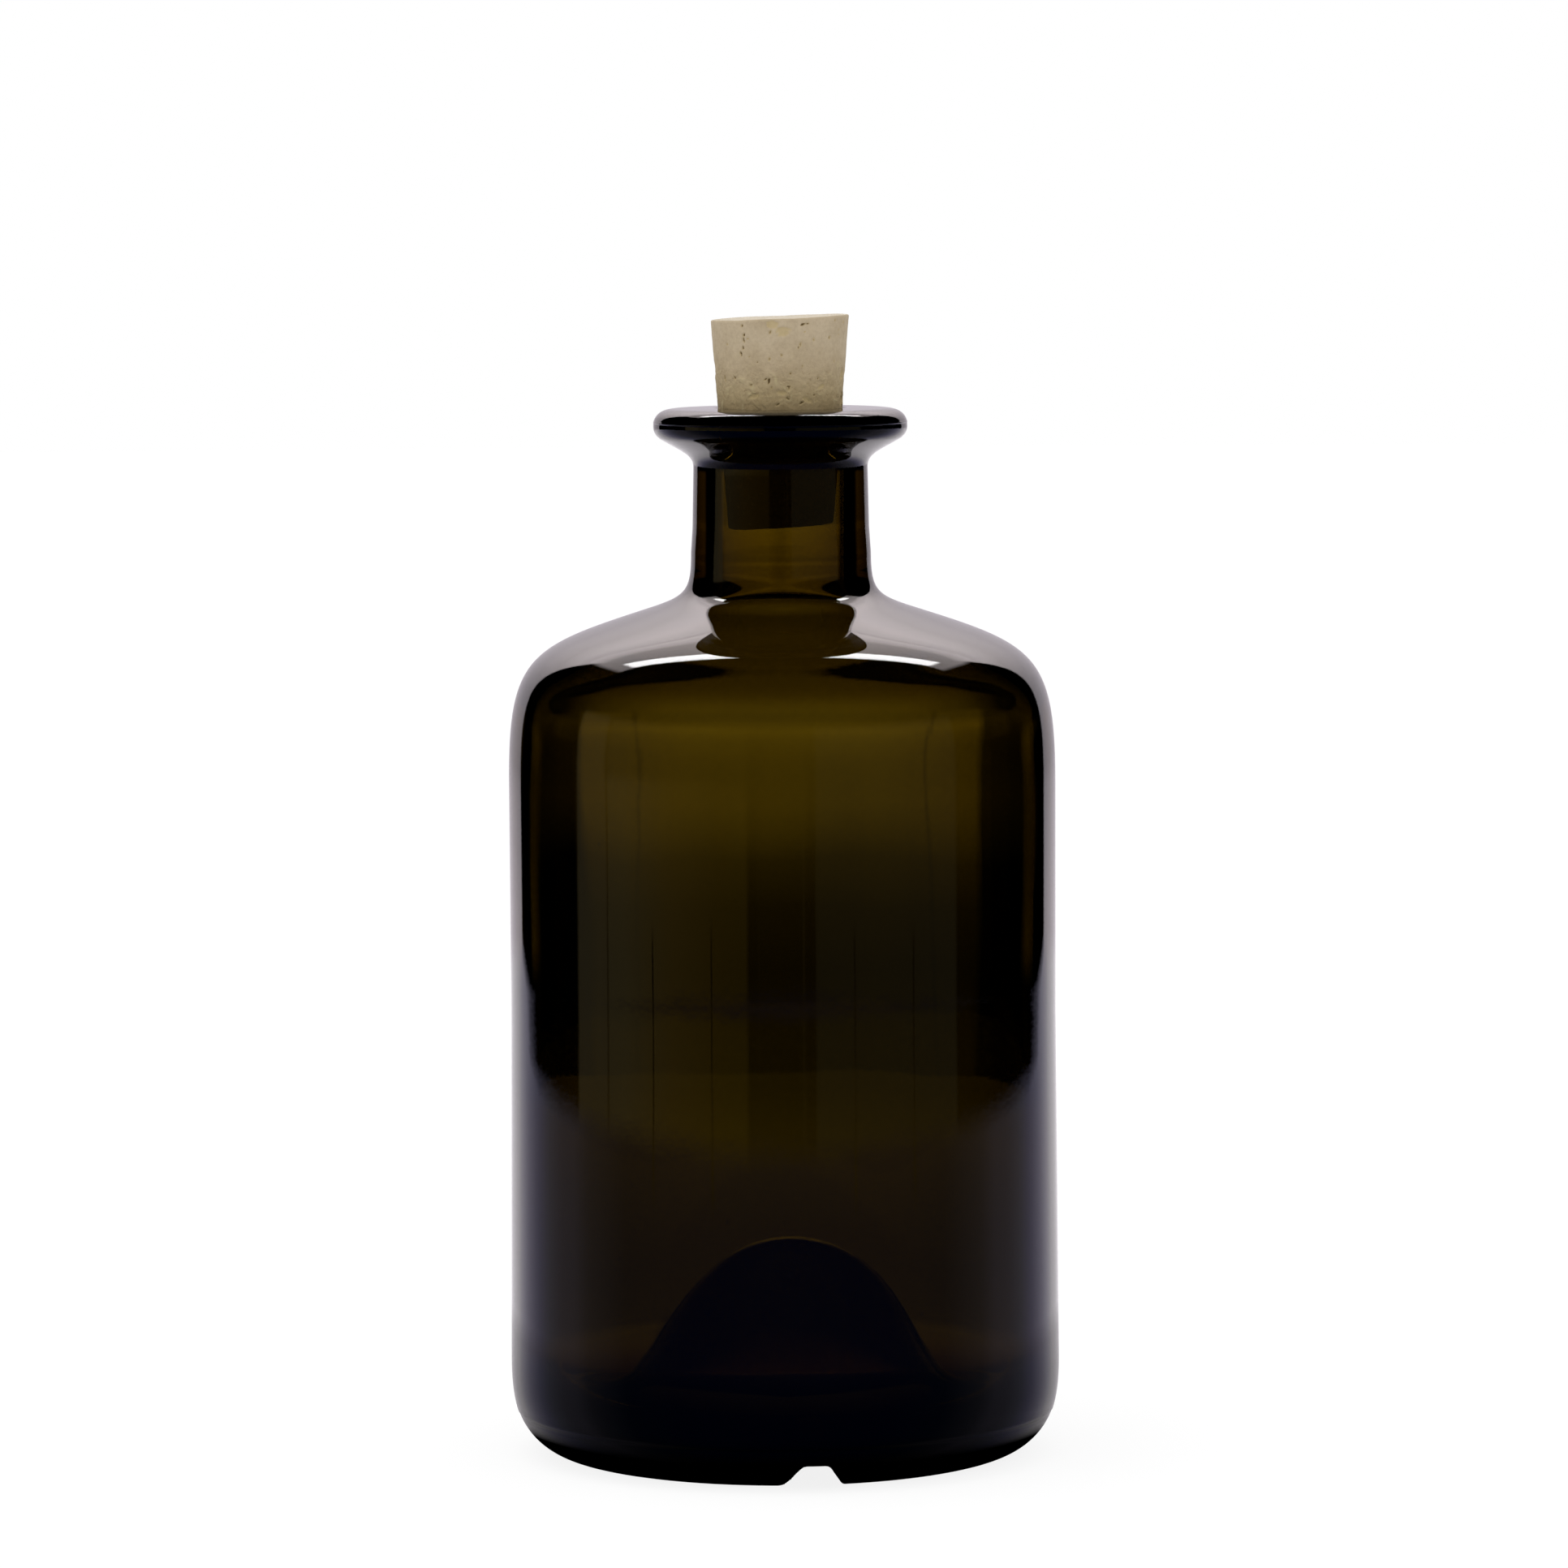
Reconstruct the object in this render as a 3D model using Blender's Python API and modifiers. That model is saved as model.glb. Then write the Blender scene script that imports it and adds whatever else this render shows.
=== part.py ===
"""Apothecary bottle of thick dark green glass, closed with a tapered cork.

The bottle stands on the ring round its hollow foot, at z = 0, with its axis on Z.
The front of the bottle faces -Y. Lengths are in metres, +Z is up.
"""

import math
import random

import bmesh
import bpy
from mathutils import Matrix, Vector

MM = 0.001

# Driving dimensions of the bottle
BODY_R = 42.9 * MM  # at the top of the straight body
WAIST_R = 42.83 * MM  # the label panel is a hair slimmer
HEEL_R = 43.24 * MM  # the widest ring, just above the heel
HEIGHT = 164.5 * MM  # foot to the top of the lip
WALL = 3.3 * MM  # side wall
WAIST_Z = 72 * MM
HEEL_RING_Z = 18.5 * MM

# Foot: rounded heel, standing ring and the punt pushed up into the bottle
HEEL_H = 12.5 * MM
HEEL_FULLNESS = 2.2  # superellipse exponent, 2 would be a plain ellipse
RING_OUTER_R = 33 * MM
RING_INNER_R = 30.5 * MM
PUNT_UNDER_H = 24.5 * MM
PUNT_UNDER_POWER = 1.45
KNOB_R = 5.5 * MM  # the tip of the push-up leaves a knob in the punt
KNOB_H = 3.8 * MM
PUNT_TOP_Z = 33.8 * MM
PUNT_TOP_POWER = 1.5
PUNT_FLARE_R = 30 * MM
TROUGH_Z = 7.6 * MM
TROUGH_R = 33 * MM
INNER_HEEL_H = 9.5 * MM

# Shoulder and neck
SHOULDER_R = 15.8 * MM  # radius of the rounding from the side to the slope
SHOULDER_Z = 114.05 * MM
SLOPE = math.radians(19.5)  # of the shoulder above its rounding
NECK_R = 13.63 * MM
NECK_MID_R = 13.8 * MM
NECK_FOOT_R = 14.05 * MM
NECK_STRAIGHT_Z = 153 * MM
NECK_MID_Z = 146 * MM
NECK_FILLET_R = 5.4 * MM
BORE_R = 9.95 * MM
BORE_FILLET_R = 4 * MM

# Flared lip
LIP_R = 19.87 * MM
LIP_MID_Z = 161.8 * MM
LIP_TOP_R = 17.6 * MM  # where the flat top starts to round over
LIP_CROWN = 0.2 * MM  # the top falls this much from the mouth to its round edge
LIP_UNDER_R = 2 * MM
LIP_UNDER_SLOPE = math.radians(31)
LIP_FILLET_R = 2.2 * MM
MOUTH_EDGE_R = 0.9 * MM

# Notch across the standing ring, by which a filling line turns the bottle
NOTCH_TURN = math.radians(7.9)  # to the right of the front
NOTCH_H = 3.2 * MM
NOTCH_TOP_W = 3.6 * MM
NOTCH_FOOT_W = 8.6 * MM
NOTCH_EDGE_R = 1 * MM
NOTCH_START_R = 22 * MM
NOTCH_END_R = 50 * MM
BELOW_FOOT = 4 * MM

# Cork
CORK_TOP_R = 10.85 * MM
CORK_FOOT_R = 8.3 * MM
CORK_FOOT_Z = 145.7 * MM
CORK_TOP_Z = 178.8 * MM
CORK_TOP_TILT = 0.036  # rise to the right over run, the top was cut askew
CORK_EDGE_R = 0.6 * MM
CORK_RINGS = 9
CORK_SEGMENTS = 36
CORK_UNEVEN = 0.07 * MM
CORK_SEED = 11

SEGMENTS = 60
MERGE = 0.02 * MM


def clear_scene():
    """Remove every object, so that the script can run again."""
    for item in list(bpy.data.objects):
        bpy.data.objects.remove(item)


def new_collection(name):
    collection = bpy.data.collections.new(name)
    bpy.context.scene.collection.children.link(collection)
    return collection


def plain_material(name, colour, roughness, transmission=0.0):
    """A Principled material with the part's colour."""
    material = bpy.data.materials.new(name)
    material.use_nodes = True
    shader = material.node_tree.nodes["Principled BSDF"]
    shader.inputs["Base Color"].default_value = (*colour, 1)
    shader.inputs["Roughness"].default_value = roughness
    shader.inputs["Metallic"].default_value = 0
    shader.inputs["Transmission Weight"].default_value = transmission
    shader.inputs["IOR"].default_value = 1.52
    material.diffuse_color = (*colour, 1)
    return material


def arc(centre, radius, start, end, steps):
    """Points (r, z) round a centre, between two angles in degrees."""
    angles = [math.radians(start + (end - start) * i / steps) for i in range(steps + 1)]
    return [(centre[0] + radius * math.cos(a), centre[1] + radius * math.sin(a)) for a in angles]


def ellipse(centre, radius_r, radius_z, start, end, steps):
    """As arc(), for an ellipse."""
    angles = [math.radians(start + (end - start) * i / steps) for i in range(steps + 1)]
    return [(centre[0] + radius_r * math.cos(a), centre[1] + radius_z * math.sin(a)) for a in angles]


def bell(r, flare_r, power):
    """Height of a bell-shaped rise at radius r, from 1 at the axis to 0 at flare_r."""
    return 0.5 * (1 + math.cos(math.pi * (r / flare_r) ** power))


def inner_punt():
    """The punt as seen inside the bottle, from its top out to the trough round it."""
    steps = 11
    rise = PUNT_TOP_Z - TROUGH_Z
    radii = [PUNT_FLARE_R * i / steps for i in range(steps + 1)]
    return [(r, TROUGH_Z + rise * bell(r, PUNT_FLARE_R, PUNT_TOP_POWER)) for r in radii]


def inner_wall():
    """From the trough up the inside of the wall and the shoulder to the foot of the bore."""
    corner = ellipse((TROUGH_R, TROUGH_Z + INNER_HEEL_H), HEEL_R - WALL - TROUGH_R, INNER_HEEL_H, -90, 0, 5)
    waist = [(WAIST_R - WALL, WAIST_Z)]
    slope_angle = 90 - math.degrees(SLOPE)
    centre = (BODY_R - SHOULDER_R, SHOULDER_Z)
    shoulder = arc(centre, SHOULDER_R - WALL, 0, slope_angle, 7)
    end_r, end_z = shoulder[-1]
    fillet_r = BORE_R + BORE_FILLET_R
    slope_z = end_z + (end_r - fillet_r) * math.tan(SLOPE)
    fillet_z = slope_z + BORE_FILLET_R / math.cos(SLOPE)
    fillet = arc((fillet_r, fillet_z), BORE_FILLET_R, 180 + slope_angle, 180, 4)
    return corner + waist + shoulder + fillet


def lip():
    """The mouth's rounded edge, the flat top, the round rim and the slope under it."""
    mouth = arc((BORE_R + MOUTH_EDGE_R, HEIGHT - MOUTH_EDGE_R), MOUTH_EDGE_R, 180, 90, 3)
    rim_h = HEIGHT - LIP_CROWN - LIP_MID_Z
    upper = ellipse((LIP_TOP_R, LIP_MID_Z), LIP_R - LIP_TOP_R, rim_h, 90, 0, 5)
    under_angle = 90 - math.degrees(LIP_UNDER_SLOPE)
    under = arc((LIP_R - LIP_UNDER_R, LIP_MID_Z), LIP_UNDER_R, 0, -under_angle, 3)
    end_r, end_z = under[-1]
    fillet_r = NECK_R + LIP_FILLET_R
    slope_z = end_z - (end_r - fillet_r) * math.tan(LIP_UNDER_SLOPE)
    fillet_z = slope_z - LIP_FILLET_R / math.cos(LIP_UNDER_SLOPE)
    fillet = arc((fillet_r, fillet_z), LIP_FILLET_R, 180 - under_angle, 180, 3)
    return mouth + upper + under[1:] + fillet


def outer_wall():
    """From the neck down over the shoulder and the side to the standing ring."""
    slope_angle = 90 - math.degrees(SLOPE)
    centre = (BODY_R - SHOULDER_R, SHOULDER_Z)
    shoulder = arc(centre, SHOULDER_R, slope_angle, 0, 8)
    start_r, start_z = shoulder[0]
    fillet_r = NECK_FOOT_R + NECK_FILLET_R
    slope_z = start_z + (start_r - fillet_r) * math.tan(SLOPE)
    fillet_z = slope_z + NECK_FILLET_R / math.cos(SLOPE)
    neck = [(NECK_R, NECK_STRAIGHT_Z), (NECK_MID_R, NECK_MID_Z)]
    fillet = arc((fillet_r, fillet_z), NECK_FILLET_R, 180, 180 + slope_angle, 5)
    side = [(WAIST_R, WAIST_Z), (HEEL_R, HEEL_RING_Z)]
    return neck + fillet + shoulder + side + heel()


def heel():
    """The rounded heel, a superellipse from the side to the standing ring."""
    steps = 8
    points = []
    for i in range(steps + 1):
        angle = math.pi / 2 * i / steps
        out = math.cos(angle) ** (2 / HEEL_FULLNESS)
        down = math.sin(angle) ** (2 / HEEL_FULLNESS)
        points.append((RING_OUTER_R + (HEEL_R - RING_OUTER_R) * out, HEEL_H * (1 - down)))
    return points


def under_punt():
    """The underside, from the standing ring up into the punt and over its knob to the axis."""
    steps = 9
    radii = [RING_INNER_R + (KNOB_R - RING_INNER_R) * i / steps for i in range(steps + 1)]
    cone = [(r, PUNT_UNDER_H * bell(r, RING_INNER_R, PUNT_UNDER_POWER)) for r in radii]
    knob = ellipse((0, cone[-1][1]), KNOB_R, KNOB_H, 0, 90, 4)
    knob[-1] = (0, knob[-1][1])
    return cone + knob[1:]


def turned(name, profile, collection, segments):
    """A closed solid from a profile of (r, z) points, turned about Z with a Screw modifier."""
    mesh = bpy.data.meshes.new(name)
    shape = bmesh.new()
    corners = [shape.verts.new((r, 0, z)) for r, z in profile]
    for first, second in zip(corners, corners[1:]):
        shape.edges.new((first, second))
    bmesh.ops.remove_doubles(shape, verts=shape.verts, dist=MERGE)
    shape.to_mesh(mesh)
    shape.free()
    item = bpy.data.objects.new(name, mesh)
    collection.objects.link(item)
    screw = item.modifiers.new("turn", "SCREW")
    screw.axis = "Z"
    screw.angle = math.tau
    screw.steps = segments
    screw.render_steps = segments
    screw.use_merge_vertices = True
    screw.merge_threshold = MERGE
    screw.use_smooth_shade = True
    return item


def notch_cutter(collection):
    """A bar with a rounded trapezium for its section, lying along a radius under the foot."""
    mesh = bpy.data.meshes.new("notch_cutter")
    bar = bmesh.new()
    bmesh.ops.create_cube(bar, size=1)
    length = NOTCH_END_R - NOTCH_START_R
    flare = (NOTCH_FOOT_W - NOTCH_TOP_W) / NOTCH_H
    for corner in bar.verts:
        on_top = corner.co.z > 0
        width = NOTCH_TOP_W if on_top else NOTCH_FOOT_W + flare * BELOW_FOOT
        corner.co.x *= width
        corner.co.y = -(NOTCH_START_R + (corner.co.y + 0.5) * length)
        corner.co.z = NOTCH_H if on_top else -BELOW_FOOT
    upper = [e for e in bar.edges if all(v.co.z > 0 for v in e.verts)]
    along = [e for e in upper if abs(e.verts[0].co.y - e.verts[1].co.y) > length / 2]
    bmesh.ops.bevel(bar, geom=along, offset=NOTCH_EDGE_R, segments=4, profile=0.5, affect="EDGES")
    bmesh.ops.recalc_face_normals(bar, faces=bar.faces)
    bar.to_mesh(mesh)
    bar.free()
    cutter = bpy.data.objects.new("notch_cutter", mesh)
    collection.objects.link(cutter)
    cutter.rotation_euler.z = NOTCH_TURN
    cutter.hide_render = True
    cutter.display_type = "WIRE"
    return cutter


def build_bottle(parts, cutters):
    """The glass: one turned solid, open at the mouth, with the notch cut through its foot."""
    profile = inner_punt() + inner_wall() + lip() + outer_wall() + [(RING_INNER_R, 0)] + under_punt()
    bottle = turned("bottle", profile, parts, SEGMENTS)
    cut = bottle.modifiers.new("notch", "BOOLEAN")
    cut.operation = "DIFFERENCE"
    cut.solver = "EXACT"
    cut.object = notch_cutter(cutters)
    bottle.data.materials.append(plain_material("dark_green_glass", (0.06, 0.05, 0.01), 0.03, 0.9))
    return bottle


def build_cork(parts):
    """The cork: a tapered plug with rounded ends, a top cut askew and a slightly uneven side."""
    mesh = bpy.data.meshes.new("cork")
    plug = bmesh.new()
    length = CORK_TOP_Z - CORK_FOOT_Z
    middle = Matrix.Translation((0, 0, (CORK_TOP_Z + CORK_FOOT_Z) / 2))
    bmesh.ops.create_cone(plug, cap_ends=True, segments=CORK_SEGMENTS, radius1=CORK_FOOT_R,
                          radius2=CORK_TOP_R, depth=length, matrix=middle)
    ends = [e for e in plug.edges if abs(e.verts[0].co.z - e.verts[1].co.z) < length / 2]
    bmesh.ops.bevel(plug, geom=ends, offset=CORK_EDGE_R, segments=2, profile=0.5, affect="EDGES")
    for i in range(1, CORK_RINGS):
        height = CORK_FOOT_Z + length * i / CORK_RINGS
        everything = plug.verts[:] + plug.edges[:] + plug.faces[:]
        bmesh.ops.bisect_plane(plug, geom=everything, plane_co=(0, 0, height), plane_no=(0, 0, 1))
    uneven_side(plug, length)
    bmesh.ops.recalc_face_normals(plug, faces=plug.faces)
    plug.to_mesh(mesh)
    plug.free()
    mesh.shade_smooth()
    mesh.set_sharp_from_angle(angle=math.radians(40))
    cork = bpy.data.objects.new("cork", mesh)
    parts.objects.link(cork)
    cork.data.materials.append(plain_material("natural_cork", (0.55, 0.45, 0.32), 0.85))
    return cork


def uneven_side(plug, length):
    """Press the cork's side in by slow waves, and lift the top towards the right."""
    draw = random.Random(CORK_SEED)
    waves = [(draw.randint(2, 9), draw.uniform(0.5, 4), draw.uniform(0, math.tau)) for _ in range(6)]
    for corner in plug.verts:
        share = (corner.co.z - CORK_FOOT_Z) / length
        turn = math.atan2(corner.co.y, corner.co.x)
        depth = sum(1 + math.sin(n * turn + k * math.pi * share + phase) for n, k, phase in waves)
        inward = Vector((corner.co.x, corner.co.y, 0)).normalized()
        corner.co -= inward * depth * CORK_UNEVEN / 2
        corner.co.z += CORK_TOP_TILT * corner.co.x * max(0.0, share) ** 4


clear_scene()
apothecary_bottle = new_collection("apothecary_bottle")
cutter_collection = new_collection("cutters")
build_bottle(apothecary_bottle, cutter_collection)
build_cork(apothecary_bottle)
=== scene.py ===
# %% [markdown]
# # An apothecary bottle of dark green glass
# This lesson builds a half litre apothecary bottle with its cork, and the small studio that it stands in.
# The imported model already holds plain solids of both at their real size. Here they get the surfaces that
# a viewer sees: thick glass whose walls bend the light behind them, and a cork with pores and grain.
# Everything is in metres, with the bottle's axis on Z and its front towards -Y.

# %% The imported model
import bisect
import math
import random

import bmesh
import bpy
from mathutils import Matrix, Vector, noise
from mathutils.geometry import interpolate_bezier


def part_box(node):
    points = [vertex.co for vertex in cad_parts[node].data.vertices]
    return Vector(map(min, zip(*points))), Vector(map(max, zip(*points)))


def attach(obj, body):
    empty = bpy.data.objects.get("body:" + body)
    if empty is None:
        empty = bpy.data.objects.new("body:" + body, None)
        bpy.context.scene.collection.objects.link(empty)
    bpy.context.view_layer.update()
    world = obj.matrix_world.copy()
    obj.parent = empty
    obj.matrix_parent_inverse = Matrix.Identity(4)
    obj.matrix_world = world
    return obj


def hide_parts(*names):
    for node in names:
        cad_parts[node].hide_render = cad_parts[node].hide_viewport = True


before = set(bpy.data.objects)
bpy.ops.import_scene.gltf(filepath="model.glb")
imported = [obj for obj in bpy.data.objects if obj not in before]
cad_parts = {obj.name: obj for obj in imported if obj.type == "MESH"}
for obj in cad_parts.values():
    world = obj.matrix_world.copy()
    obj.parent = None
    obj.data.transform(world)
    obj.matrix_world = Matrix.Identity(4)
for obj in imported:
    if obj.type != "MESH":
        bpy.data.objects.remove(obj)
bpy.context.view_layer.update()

MM = 0.001
glass_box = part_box("bottle")
cork_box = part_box("cork")
print("bottle from", [round(v / MM, 2) for v in glass_box[0]], "to", [round(v / MM, 2) for v in glass_box[1]])
print("cork from", [round(v / MM, 2) for v in cork_box[0]], "to", [round(v / MM, 2) for v in cork_box[1]])

# %% [markdown]
# ## A pen that draws half an outline
# A bottle is round, so one half of its cut face says everything about its shape. A list of points would
# do, but it is hard to read and harder to change. This pen works as a turner draws: from where its tip
# is, it goes on in a straight line, in an arc or in a free curve. The arc is a spin of the tip itself,
# the free curve is Blender's own Bezier, and each step is an extruded vertex, so the outline is one wire.

# %% The pen
class Pen:
    """Draws an outline in the XZ plane. r is the distance from the axis; sizes are in millimetres."""

    def __init__(self, r, z):
        self.drawing = bmesh.new()
        self.inner = self.drawing.verts.layers.float.new("inner")
        self.tip = self.drawing.verts.new((r * MM, 0, z * MM))
        self.tip[self.inner] = 1

    def where(self):
        return self.tip.co.x / MM, self.tip.co.z / MM

    def step(self, place):
        made = bmesh.ops.extrude_vert_indiv(self.drawing, verts=[self.tip])
        self.tip = made["verts"][0]
        self.tip.co = place

    def line(self, r, z, steps=1):
        start = self.tip.co.copy()
        end = Vector((r * MM, 0, z * MM))
        for i in range(1, steps + 1):
            self.step(start.lerp(end, i / steps))

    def arc(self, r, z, clockwise, steps):
        """Round the centre (r, z), by so many degrees clockwise."""
        made = bmesh.ops.spin(self.drawing, geom=[self.tip], cent=(r * MM, 0, z * MM), axis=(0, 1, 0),
                              angle=math.radians(clockwise), steps=steps)
        self.tip = [v for v in made["geom_last"] if isinstance(v, bmesh.types.BMVert)][0]

    def curve(self, first_handle, second_handle, end, steps):
        """A Bezier curve to the end, pulled towards its two handles on the way."""
        corners = [self.tip.co.copy()]
        corners += [Vector((r * MM, 0, z * MM)) for r, z in (first_handle, second_handle, end)]
        for place in interpolate_bezier(*corners, steps + 1)[1:]:
            self.step(place)


def at_angle(start, length, degrees):
    """The point at a distance from the start, in a direction counted up from the outward side."""
    turn = math.radians(degrees)
    return start[0] + length * math.cos(turn), start[1] + length * math.sin(turn)


# %% [markdown]
# ## The inside of the glass
# The bottle was blown, so its inside isn't an exact copy of its outside. The glass lies thick in the heel,
# where the gather was heaviest, and the foot is pushed up into a tall hollow, the punt. The drawing
# starts on the axis at the punt's top, runs down its slope into the trough round it, climbs the wall and
# turns in under the shoulder to the bore of the neck.

# %% Inside
PUNT_TOP = 33.9
PUNT_WAIST = (20.6, 18.6)
PUNT_SLOPE = 59
TROUGH = (32, 7.8)
BODY_R = 42.9
PANEL_R = 42.82
HEEL_R = 43.23
WALL = 3.3
PANEL_Z = 70
HEEL_Z = 15
SIDE_TOP_Z = 106
SHOULDER_SLOPE = -18
SLOPE_TOP = (21.5, 133.0)
INNER_SLOPE = -17.2
INNER_SLOPE_TOP = (17.9, 130.7)
BORE_R = 9.95
BORE_END_Z = 138.9
MOUTH_EDGE_R = 0.6
HEIGHT = 164.6

pen = Pen(0, PUNT_TOP)
pen.curve((10, PUNT_TOP), at_angle(PUNT_WAIST, -8, -PUNT_SLOPE), PUNT_WAIST, 20)
pen.curve(at_angle(PUNT_WAIST, 6.5, -PUNT_SLOPE), (TROUGH[0] - 5, TROUGH[1]), TROUGH, 14)
pen.curve((36, TROUGH[1]), (HEEL_R - WALL, 11), (HEEL_R - WALL, 18), 12)
pen.line(PANEL_R - WALL, PANEL_Z, 10)
pen.line(BODY_R - WALL, SIDE_TOP_Z, 8)
pen.curve((BODY_R - WALL, SIDE_TOP_Z + 16.3), at_angle(INNER_SLOPE_TOP, 22.9, INNER_SLOPE),
          INNER_SLOPE_TOP, 44)
pen.curve(at_angle(INNER_SLOPE_TOP, -2.7, INNER_SLOPE), (BORE_R, BORE_END_Z - 5), (BORE_R, BORE_END_Z), 28)
pen.line(BORE_R, HEIGHT - MOUTH_EDGE_R, 8)
print("inside drawn with", len(pen.drawing.verts), "points")

# %% [markdown]
# ## The lip, the neck and the shoulder
# The lip was tooled while hot: a flat top, a round rim and a slope underneath that runs into the neck in
# a small hollow. A hair-fine ridge goes round the rim where two parts of the tool met. The neck widens
# a little downwards and flares into the shoulder. Two long curves carry the shoulder from the neck's
# foot to the straight side, because the eye reads the light on it as one unbroken sweep.

# %% Mouth, lip and neck
LIP_R = 19.88
LIP_MID_Z = 161.75
LIP_TOP = (16.4, 164.5)
LIP_UNDER_R = 2.3
LIP_UNDER_SLOPE = 30.5
RIDGE_Z = 162.4
RIDGE = 0.05
NECK_R = 13.63

pen.tip[pen.inner] = 0
pen.arc(BORE_R + MOUTH_EDGE_R, HEIGHT - MOUTH_EDGE_R, 90, 6)
pen.line(*LIP_TOP, 5)
pen.curve((LIP_TOP[0] + 2.3, LIP_TOP[1]), (LIP_R - 0.33, RIDGE_Z + 1.15), (LIP_R - 0.04, RIDGE_Z + 0.08), 12)
pen.line(LIP_R - 0.03 + RIDGE, RIDGE_Z)
pen.line(LIP_R - 0.03, RIDGE_Z - 0.08)
pen.line(LIP_R, LIP_MID_Z, 2)
pen.arc(LIP_R - LIP_UNDER_R, LIP_MID_Z, 90 - LIP_UNDER_SLOPE, 8)
pen.curve(at_angle(pen.where(), -3.6, LIP_UNDER_SLOPE), (NECK_R, 157.3), (NECK_R + 0.01, 155.4), 18)
pen.line(NECK_R + 0.2, 146, 6)
pen.line(14.1, 142, 3)
print("rim", round(LIP_R * 2, 1), "mm across, neck", round(NECK_R * 2, 1), "mm")

# %% Shoulder and side
pen.curve((14.1, 135.7), at_angle(SLOPE_TOP, -6.8, SHOULDER_SLOPE), SLOPE_TOP, 28)
pen.curve(at_angle(SLOPE_TOP, 19, SHOULDER_SLOPE), (BODY_R, SIDE_TOP_Z + 20), (BODY_R, SIDE_TOP_Z), 40)
pen.line(PANEL_R, PANEL_Z, 8)
pen.line(HEEL_R, HEEL_Z, 10)

# %% [markdown]
# ## The heel and the hollow foot
# The heel rounds down to the ring that the bottle stands on. A faint step goes round it where the mould's
# side met its base plate. Under the ring the punt's hollow rises to a small knob at its tip. The mould
# also leaves a notch across the ring, by which a filling line turns every bottle the same way.

# %% Heel, ring and punt from below
STEP_Z = 6.9
STEP_R = 42.2
RING_OUTER_R = 33
RING_INNER_R = 30.6
KNOB_FOOT = (5.6, 24.3)
KNOB_TOP = 27.7

pen.curve((HEEL_R, HEEL_Z - 3.6), (STEP_R + 0.75, STEP_Z + 2.2), (STEP_R + 0.14, STEP_Z + 0.12), 12)
pen.line(STEP_R, STEP_Z)
pen.curve((STEP_R - 1.3, STEP_Z - 3.8), (RING_OUTER_R + 4.4, 0), (RING_OUTER_R, 0), 22)
pen.line(RING_INNER_R, 0, 3)
pen.curve((RING_INNER_R - 3.5, 0), (24, 10.5), (20, 14.2), 14)
pen.curve((16, 18), (11, KNOB_FOOT[1] - 0.6), KNOB_FOOT, 12)
pen.curve((KNOB_FOOT[0] - 0.5, KNOB_TOP - 0.8), (3.2, KNOB_TOP), (0, KNOB_TOP), 8)
print("outline closed with", len(pen.drawing.verts), "points")

# %% [markdown]
# ## Turning the outline into glass
# A spin sweeps the wire round the axis. Blender could do it in one turn, but the notch is only a few
# millimetres wide and needs finer columns than the rest, so a first short spin goes over the notch in
# small steps and a second one goes on from its last copy all the way round. Merging the doubles closes
# the seam and the two poles on the axis.

# %% Spin
NOTCH_TURN = math.radians(6.6)
FINE_ARC = math.radians(24)
FINE_STEPS = 48
COARSE_STEPS = 196
FRONT = -math.pi / 2


def spun(drawing, start, parts):
    """Sweeps a drawing round Z from a start angle, in parts of (angle, steps)."""
    bmesh.ops.rotate(drawing, verts=drawing.verts, cent=(0, 0, 0), matrix=Matrix.Rotation(start, 3, "Z"))
    wire = drawing.verts[:] + drawing.edges[:]
    for angle, steps in parts:
        made = bmesh.ops.spin(drawing, geom=wire, cent=(0, 0, 0), axis=(0, 0, 1), angle=angle, steps=steps)
        wire = made["geom_last"]
    bmesh.ops.remove_doubles(drawing, verts=drawing.verts, dist=0.0005 * MM)
    bmesh.ops.recalc_face_normals(drawing, faces=drawing.faces)
    return drawing


both_spins = [(FINE_ARC, FINE_STEPS), (math.tau - FINE_ARC, COARSE_STEPS)]
glass = spun(pen.drawing, FRONT + NOTCH_TURN - FINE_ARC / 2, both_spins)
print("glass has", len(glass.faces), "faces")

# %% [markdown]
# ## The notch
# A Boolean would cut the notch with hard edges, as a saw does. In the real bottle the hot glass was
# pressed over a small bump in the mould, so everything is soft. Here every vertex of the foot that lies
# lower than the bump is lifted onto it, which leaves the ring, the heel and the punt joined as they were.

# %% Press the notch
NOTCH_H = 4.1 * MM
NOTCH_TOP_HALF = 1.5 * MM
NOTCH_FOOT_HALF = 5.4 * MM
NOTCH_FROM_R = 20 * MM


def smooth_step(low, high, value):
    share = min(1.0, max(0.0, (value - low) / (high - low)))
    return share * share * (3 - 2 * share)


along_notch = Vector((math.cos(FRONT + NOTCH_TURN), math.sin(FRONT + NOTCH_TURN)))
lifted = 0
for vert in glass.verts:
    place = vert.co.xy
    across = abs(place.cross(along_notch))
    bump = NOTCH_H * (1 - smooth_step(NOTCH_TOP_HALF, NOTCH_FOOT_HALF, across))
    if not vert[pen.inner] and place.dot(along_notch) > NOTCH_FROM_R and vert.co.z < bump:
        vert.co.z = bump
        lifted += 1
print("notch pressed with", lifted, "vertices")

# %% [markdown]
# ## The unevenness of blown glass
# Inside a mould only the outer skin of the glass touches metal. The inner skin stays a little wavy, and
# that is what makes light swim behind a real bottle. A slow noise moves the inner vertices by a tenth
# of a millimetre, and the outer ones by much less, so that reflections keep long calm edges. The punt
# was pushed up by hand, so it sits a millimetre beside the axis.

# %% Waves in the glass
INNER_WAVE = 0.10 * MM
OUTER_WAVE = 0.006 * MM
WAVE_SIZE = 17 * MM
NECK_WAVE_FOOT = 138 * MM
NECK_WAVE_TOP = 150 * MM
PUNT_ASIDE = 1.1 * MM
PUNT_CORE_R = 12 * MM
JUST_ABOVE_PUNT = PUNT_TOP * MM * 1.01

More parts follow.
